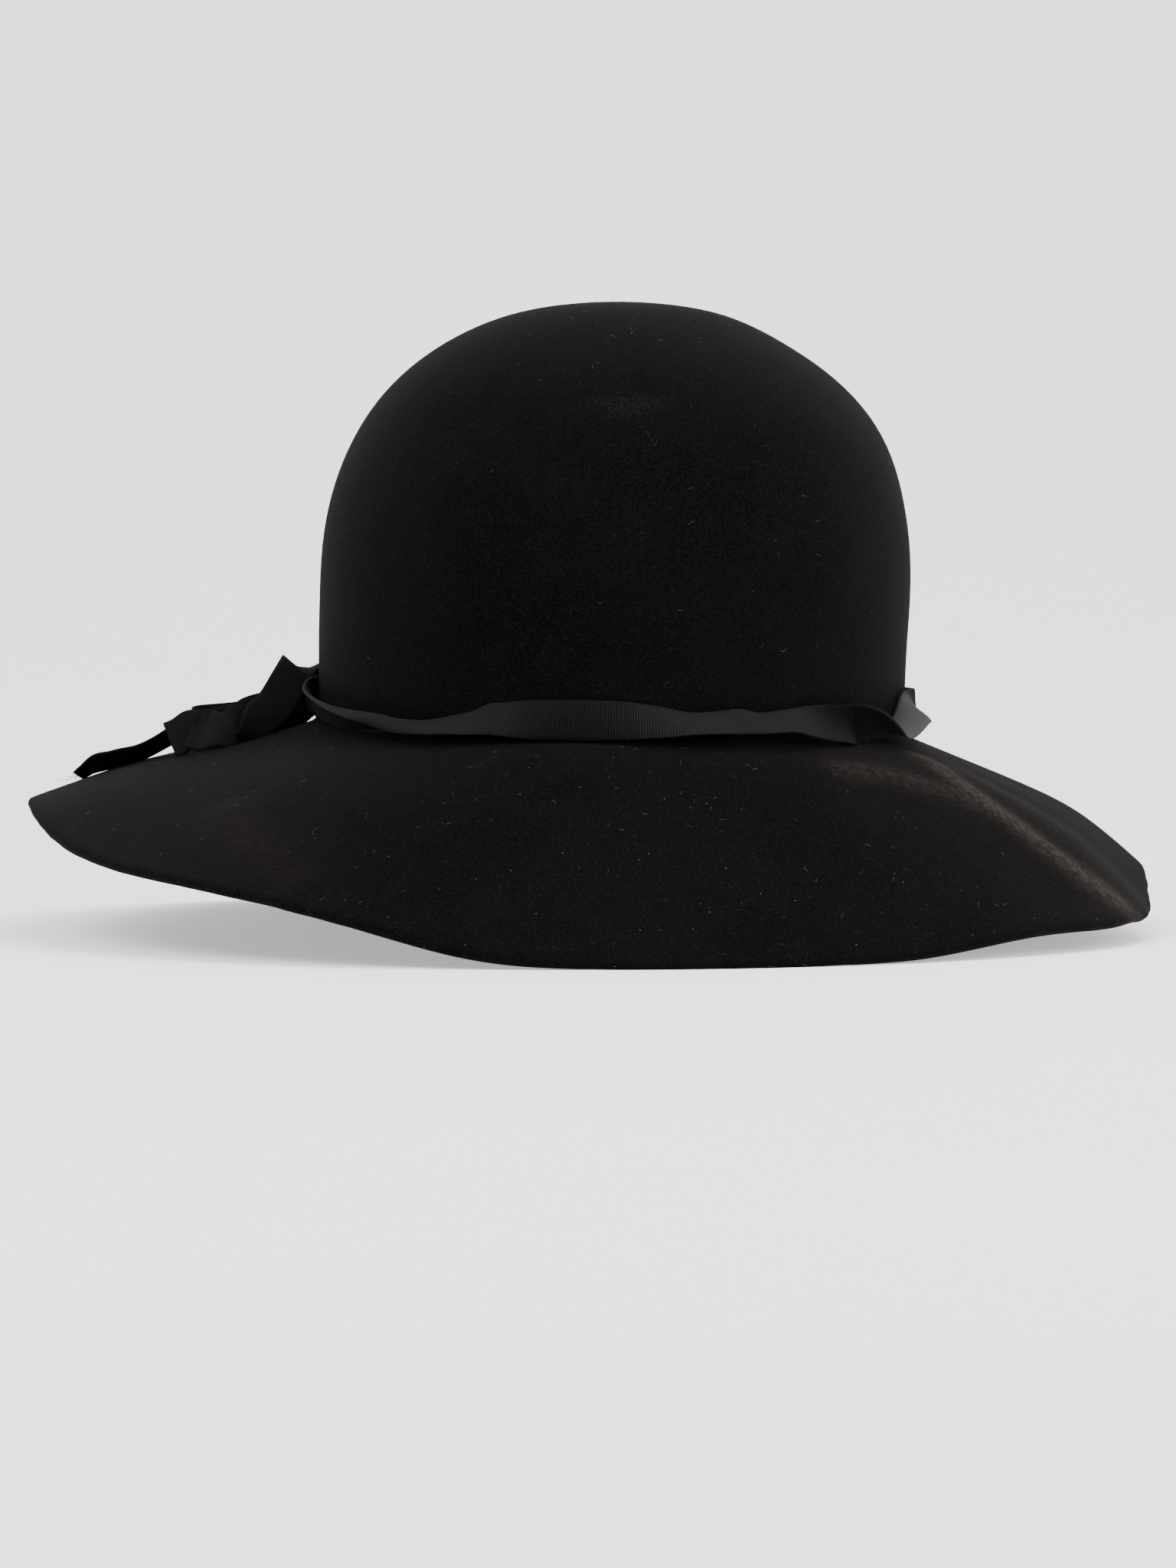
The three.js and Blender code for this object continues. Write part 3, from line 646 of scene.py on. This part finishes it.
def ribbonFinish(name, contrast, lift):
    finish = Finish(name)
    coords = finish.coords()
    ribs = (finish.attribute("along") / ribbon["ribPitch"]).wave()
    across = finish.attribute("across")
    threads = (across * 46).wave()
    worn = finish.noise(coords, 120.0, 3.0).between(0.35, 0.70)
    slubs = finish.noise(coords, 1300.0, 3.0, 0.6)
    selvedge = 1 - across.between(0.0, 0.05) * (1 - across.between(0.95, 1.0))
    paintedHighlight = finish.attribute("paintedHighlight")
    # Painted shade: the grooves between ribs are painted near black and the crests lighter; contrast sets
    # how strong
    ribs = ribs * contrast + 0.55 * (1 - contrast)
    low = [*(lift * np.array((0.0001, 0.0001, 0.0001))), 1]
    high = [*(lift * np.array((0.0042, 0.0040, 0.0039))), 1]
    colour = finish.mix(ribs, low, high)
    colour = finish.mix(worn * 0.25, colour, (0.0036, 0.0035, 0.0034, 1))
    colour = finish.mix(selvedge * 0.5, colour, (0.0075, 0.0070, 0.0068, 1))
    colour = finish.mix(slubs.between(0.55, 0.8) * 0.2, colour, (0.008, 0.0077, 0.0075, 1))
    # Painted highlight: where the highlight share rises the colour turns to lighter ribs, and above 1 to
    # pale grey
    light = finish.mix(ribs, (0.010, 0.0097, 0.0095, 1), (0.026, 0.0252, 0.0248, 1))
    colour = finish.mix(paintedHighlight, colour, light)
    colour = finish.mix(paintedHighlight - 1, colour, (0.050, 0.048, 0.047, 1))
    relief = finish.node("ShaderNodeBump", None, {
        "Strength": 0.5, "Distance": 0.0002, "Height": threads * 0.35 + slubs * 0.65})
    return finish.surface({
        "Base Color": colour, "Roughness": 0.62 + slubs * 0.15, "Normal": relief,
        "Specular IOR Level": 0.02, "Sheen Weight": 0.004, "Sheen Roughness": 0.35,
        "Sheen Tint": (0.80, 0.78, 0.78, 1),
    })


ribs = ribShape()
ribbonCloth = ribbonFinish("blackGrosgrain", 1.0, 1.0)
# Painted light: the bow, knot and threads use a copy of the band's finish painted about three times
# lighter, with the painted groove shade almost gone
bowCloth = ribbonFinish("blackGrosgrainWorn", 0.06, 3.1)


# worn is a table of painted highlight along the strip
def placeRibbon(name, rows, cadNode, cloth, height, worn=(0, 0)):
    woven = ribs.made(ribbonMesh(name, rows, worn), {
        "Pitch": ribbon["ribPitch"], "Height": height / 1000, "Finish": cloth})
    woven.name = name
    return place(name, woven, cloth, "ribbon", cadNode)


# The band, as azimuth, rise of its middle above the root, stand beyond touching, lean of
# its upper edge towards the crown in degrees, and curl across it
band = {
    "rows": 330, "seat": 0.53, "reachOut": 0.44,
    "pale": [(-27, 9, 2.6), (-158, 15, 0.45)],  # painted highlight where the band faces the light: degrees, spread, share
    "stations": [
        (-189, 9.4, 0.0, 196, -20),
        (-186, 12.2, 0.0, 190, -40),
        (-182, 12.4, 0.0, 190, -60),
        (-178, 11.6, 0.1, 192, -65),
        (-174, 10.6, 0.0, 186, -50),
        (-168, 9.6, 0.0, 166, -10),
        (-161, 8.7, 0.0, 148, 40),
        (-153, 7.7, 0.0, 138, 75),
        (-147, 7.1, 0.0, 129, 110),
        (-141.5, 6.9, 0.0, 118, 140),
        (-134, 6.4, 0.0, 102, 155),
        (-128, 4.9, 0.0, 84, 110),
        (-121.5, 4.2, 0.0, 69, 30),
        (-118, 4.5, 0.0, 64, 15),
        (-115, 5.0, 0.0, 57, 12),
        (-112, 5.9, 0.0, 45, 10),
        (-109, 6.0, 0.0, 40, 10),
        (-104, 5.8, 0.0, 26, 10),
        (-97, 5.7, 0.0, 21, 10),
        (-90, 5.6, 0.0, 26, 10),
        (-85.5, 5.5, 0.0, 38, 15),
        (-82.5, 5.4, 0.0, 46, 20),
        (-77.5, 5.3, 0.0, 61, 30),
        (-72, 5.5, 0.0, 59, 30),
        (-68.5, 5.6, 0.0, 56, 25),
        (-65, 5.0, 0.0, 63, 20),
        (-61.3, 5.1, 0.0, 62, 10),
        (-57.5, 4.6, 0.0, 50, 0),
        (-54, 4.2, 0.8, 36, -10),
        (-51, 3.8, 1.6, 27, -25),
        (-48, 3.4, 2.3, 20, -40),
        (-45.5, 3.1, 2.5, 3, -50),
        (-43, 2.8, 2.0, -23, -60),
        (-41, 2.4, 1.4, -46, -65),
        (-39, 2.0, 0.8, -64, -70),
        (-37, 1.3, 0.4, -79, -70),
        (-35, 0.8, 0.2, -90, -60),
        (-32, 1.4, 0.0, -94, -60),
        (-29, 3.2, 0.0, -97, -60),
        (-26, 5.3, 0.0, -101, -60),
        (-23, 6.9, 0.0, -112, -50),
        (-20, 7.3, 0.0, -138, -30),
        (-17, 7.2, 0.0, -160, -20),
        (-13, 7.1, 0.0, -168, -10),
        (-6, 6.8, 0.0, -177, 0),
        (3, 6.7, 0.1, -180, 0),
        (14, 6.7, 0.2, -180, 0),
        (28, 6.7, 0.4, -180, 0),
        (44, 6.7, 0.0, -180, 0),
        (62, 6.7, 0.0, -180, 0),
        (80, 6.7, 0.0, -180, 0),
        (98, 6.7, 0.0, -180, 0),
        (116, 6.7, 0.0, -180, 0),
        (134, 7.4, 0.0, -180, 0),
        (154, 8.6, 0.0, -180, 0),
        (169, 8.8, 0.0, -180, 10),
    ],
}


def bandRows():
    azimuth, rise, stand, lean, curl = through(band["stations"], band["rows"]).T
    turn = np.radians(azimuth)
    out = np.stack([np.cos(turn), np.sin(turn), 0 * turn], -1)
    up = np.array([0, 0, 1.0])
    radius = ovalRadius(turn) + band["seat"] + stand
    radius += np.abs(np.sin(np.radians(lean))) * ribbon["width"] * band["reachOut"]
    centres = out * radius[:, None] + up * rise[:, None]
    lean = np.radians(lean)[:, None]
    across = up * np.cos(lean) - out * np.sin(lean)
    faces = out * np.cos(lean) + up * np.sin(lean)
    return laidClear(crossRows(centres, across, faces, curl))


# Strips of the bow, as places out from the crown's side, back from its middle and above
# the root, then the way across the ribbon and its curl
bow = {
    "side": -90.8, "rows": 90, "ribHeight": 0.02, "settle": 0.45,
    "strips": {
        "bowLoopUpper": "bow_loop_upper", "bowLoopLower": "bow_loop_lower",
        "ribbonTailShort": "ribbon_tail_short", "ribbonTailLong": "ribbon_tail_long",
    },
    "bowLoopUpper": [
        (5.0, 13.0, 10.0, 0.00, 1.00, -0.10, 20),
        (3.2, 10.5, 15.5, -0.20, 0.95, -0.12, 20),
        (2.8, 6.0, 17.8, -0.35, 0.90, -0.15, 15),
        (4.2, 1.2, 18.9, -0.62, 0.76, -0.14, 10),
        (6.0, -3.4, 18.8, -0.76, 0.60, -0.16, 10),
        (8.6, -7.4, 14.5, -0.84, 0.22, -0.50, 8),
        (11.8, -9.8, 8.8, -0.84, 0.15, -0.52, 8),
        (15.6, -12.0, 2.9, -0.81, 0.26, -0.52, 10),
        (18.4, -13.2, -0.8, -0.72, 0.44, -0.53, 10),
        (19.6, -11.4, -2.2, -0.50, 0.76, -0.40, 10),
        (17.0, -6.4, -0.4, -0.45, 0.75, -0.48, 20),
        (13.4, 0.6, 3.2, -0.30, 0.60, -0.74, 20),
        (10.5, 7.6, 5.0, -0.10, 0.30, -0.95, 20),
    ],
    "bowLoopLower": [
        (10.5, 10.8, 5.0, 0.00, 0.00, -1.00, 20),
        (19.0, 4.6, 3.6, 0.00, 0.00, -1.00, 25),
        (28.0, -3.0, 0.9, 0.00, -0.05, -1.00, 30),
        (34.8, -5.6, 0.4, 0.00, -0.05, -1.00, 30),
        (38.6, -3.4, 0.9, 0.00, 0.00, -1.00, 20),
        (36.2, 0.8, 1.6, 0.00, 0.00, -1.00, 20),
        (29.0, 3.6, 2.1, 0.00, 0.00, -1.00, 10),
        (23.6, 5.6, 2.5, 0.00, 0.00, -1.00, 0),
        (21.4, 6.6, 4.1, 0.05, 0.00, -1.00, 0),
        (17.0, 9.2, 5.3, 0.00, 0.00, -1.00, 10),
        (10.5, 14.2, 5.4, 0.00, 0.00, -1.00, 20),
    ],
    "ribbonTailShort": [
        (10.5, 6.6, 4.8, 0.00, 0.10, -1.00, 10),
        (15.6, -1.6, 3.6, 0.00, 0.00, -1.00, 20),
        (21.8, -11.0, 0.8, 0.00, -0.25, -0.95, 25),
        (27.0, -14.6, -0.4, -0.05, -0.40, -0.92, 25),
        (32.0, -15.4, -0.7, -0.12, -0.40, -0.90, 10),
        (36.0, -14.6, 0.0, -0.30, -0.34, -0.88, -5),
        (38.2, -13.8, 0.5, -0.46, -0.34, -0.82, 5),
        (41.4, -12.0, -1.4, -0.48, -0.40, -0.78, 5),
        (44.4, -10.6, -3.3, -0.48, -0.42, -0.77, 0),
    ],
    "ribbonTailLong": [
        (10.5, 17.0, 4.8, 0.00, 0.00, -1.00, 10),
        (20.2, 14.4, 3.4, 0.00, 0.10, -1.00, 20),
        (30.2, 11.0, 1.6, 0.00, 0.40, -0.90, 20),
        (40.2, 9.6, 0.4, -0.05, 0.75, -0.60, 15),
        (47.2, 9.2, -2.8, -0.10, 0.90, -0.38, 10),
        (56.0, 9.2, -7.9, -0.05, 0.90, -0.42, 10),
        (63.0, 9.2, -10.7, 0.00, 0.89, -0.45, 10),
        (68.4, 9.2, -12.0, 0.00, 0.88, -0.47, 8),
        (72.2, 9.2, -14.6, 0.10, 0.90, -0.40, 5),
        (74.0, 9.2, -15.9, 0.12, 0.92, -0.36, 5),
    ],
}


def stripRows(stations):
    laid = through(stations, bow["rows"])
    centres = np.stack([bow["side"] - laid[:, 0], laid[:, 1], laid[:, 2]], -1)
    onwards = unit(np.gradient(centres, axis=0))
    across = np.stack([-laid[:, 3], laid[:, 4], laid[:, 5]], -1)
    across = unit(across - onwards * (across * onwards).sum(-1, keepdims=True))
    rows = laidClear(crossRows(centres, across, unit(np.cross(onwards, across)), laid[:, 6]), 7)
    rows[..., 2] -= (bow["settle"] * smoothStep(laid[:, 0], 36, 50))[:, None]
    return rows


# The knot is the ribbon wound once round the strips
knot = {
    "out": 5.4, "back": 13.9, "rise": 7.0, "halfBack": 4.9, "halfHigh": 4.8, "pinch": 0.84,
    "fall": 0.55, "settle": 0.5, "rows": 60, "start": -0.6, "end": 2 * math.pi + 0.1, "curl": -60.0,
}


def knotRows():
    turn = np.linspace(knot["start"], knot["end"], knot["rows"])
    spiral = np.linspace(0, 0.5, knot["rows"])
    centres = np.stack([
        bow["side"] - knot["out"] + 0 * turn,
        knot["back"] + (knot["halfBack"] + spiral) * np.cos(turn),
        knot["rise"] + (knot["halfHigh"] + spiral) * np.sin(turn)], -1)
    fall = knot["fall"] * (1 - np.sin(turn)) / 2  # its underside slopes as the brim does
    across = unit(np.stack([-1 + 0 * turn, 0 * turn, -fall], -1))
    faces = unit(np.cross(np.gradient(centres, axis=0), across))
    rows = crossRows(centres, across, faces, np.full(knot["rows"], knot["curl"]))
    middle = rows.mean(1, keepdims=True)
    return laidClear(middle + (rows - middle) * knot["pinch"]) - [0, 0, knot["settle"]]


# Painted highlight along the band, lighter at the flag and at the left twist
bandTurn = through(band["stations"], band["rows"])[:, 0]
bandPaintedHighlight = sum(share * np.exp(-((bandTurn - place) / spread) ** 2) for place, spread, share in band["pale"])
placeRibbon("ribbonBand", bandRows(), "ribbon_band", ribbonCloth, ribbon["ribHeight"], bandPaintedHighlight)
placeRibbon("ribbonKnot", knotRows(), "ribbon_knot", bowCloth, bow["ribHeight"])
strips = {}
for name, cadNode in bow["strips"].items():
    strips[name] = stripRows(bow[name])
    placeRibbon(name, strips[name], cadNode, bowCloth, bow["ribHeight"])

# Loose threads at the two cut ends of the bow
frays = {"count": 30, "length": (0.6, 4.2), "radius": 0.045, "spread": 0.30, "bend": 0.45, "seed": 12}


def threadShape():  # gives each line of the source a round thread
    shape = Shape("threads", {"Radius": "Float"})
    lines = shape.node("GeometryNodeMeshToCurve", None, {
        "Mesh": Field(shape, shape.entry.outputs["Source"])})
    ring = shape.node("GeometryNodeCurvePrimitiveCircle", None,
                      {"Resolution": 4, "Radius": shape.input("Radius")})
    shape.close(shape.node("GeometryNodeCurveToMesh", None, {
        "Curve": lines, "Profile Curve": ring, "Fill Caps": True}))
    return shape


def placeFrays(ends):
    draw = np.random.default_rng(frays["seed"])
    points = []
    edges = []
    for rows in ends:
        onward = unit((rows[-1] - rows[-5]).mean(0))
        for share in draw.uniform(0.02, 0.98, frays["count"]):
            start = rows[-1, 0] + share * (rows[-1, -1] - rows[-1, 0]) - 0.5 * onward
            way = onward + draw.normal(0, frays["spread"], 3)
            bend = draw.normal(0, frays["bend"], 3)
            size = draw.uniform(*frays["length"]) * draw.uniform(0.3, 1)
            for step in range(6):
                if step:
                    edges.append((len(points) - 1, len(points)))
                points.append(start + size * (step / 5 * way + (step / 5) ** 2 * bend))
    mesh = bpy.data.meshes.new("frayedThreads")
    mesh.from_pydata(inFrame(points).tolist(), edges, [])
    woven = threadShape().made(mesh, {"Radius": frays["radius"] / 1000, "Finish": bowCloth})
    place("frayedThreads", woven, bowCloth, "ribbon")


placeFrays([strips["ribbonTailShort"], strips["ribbonTailLong"]])
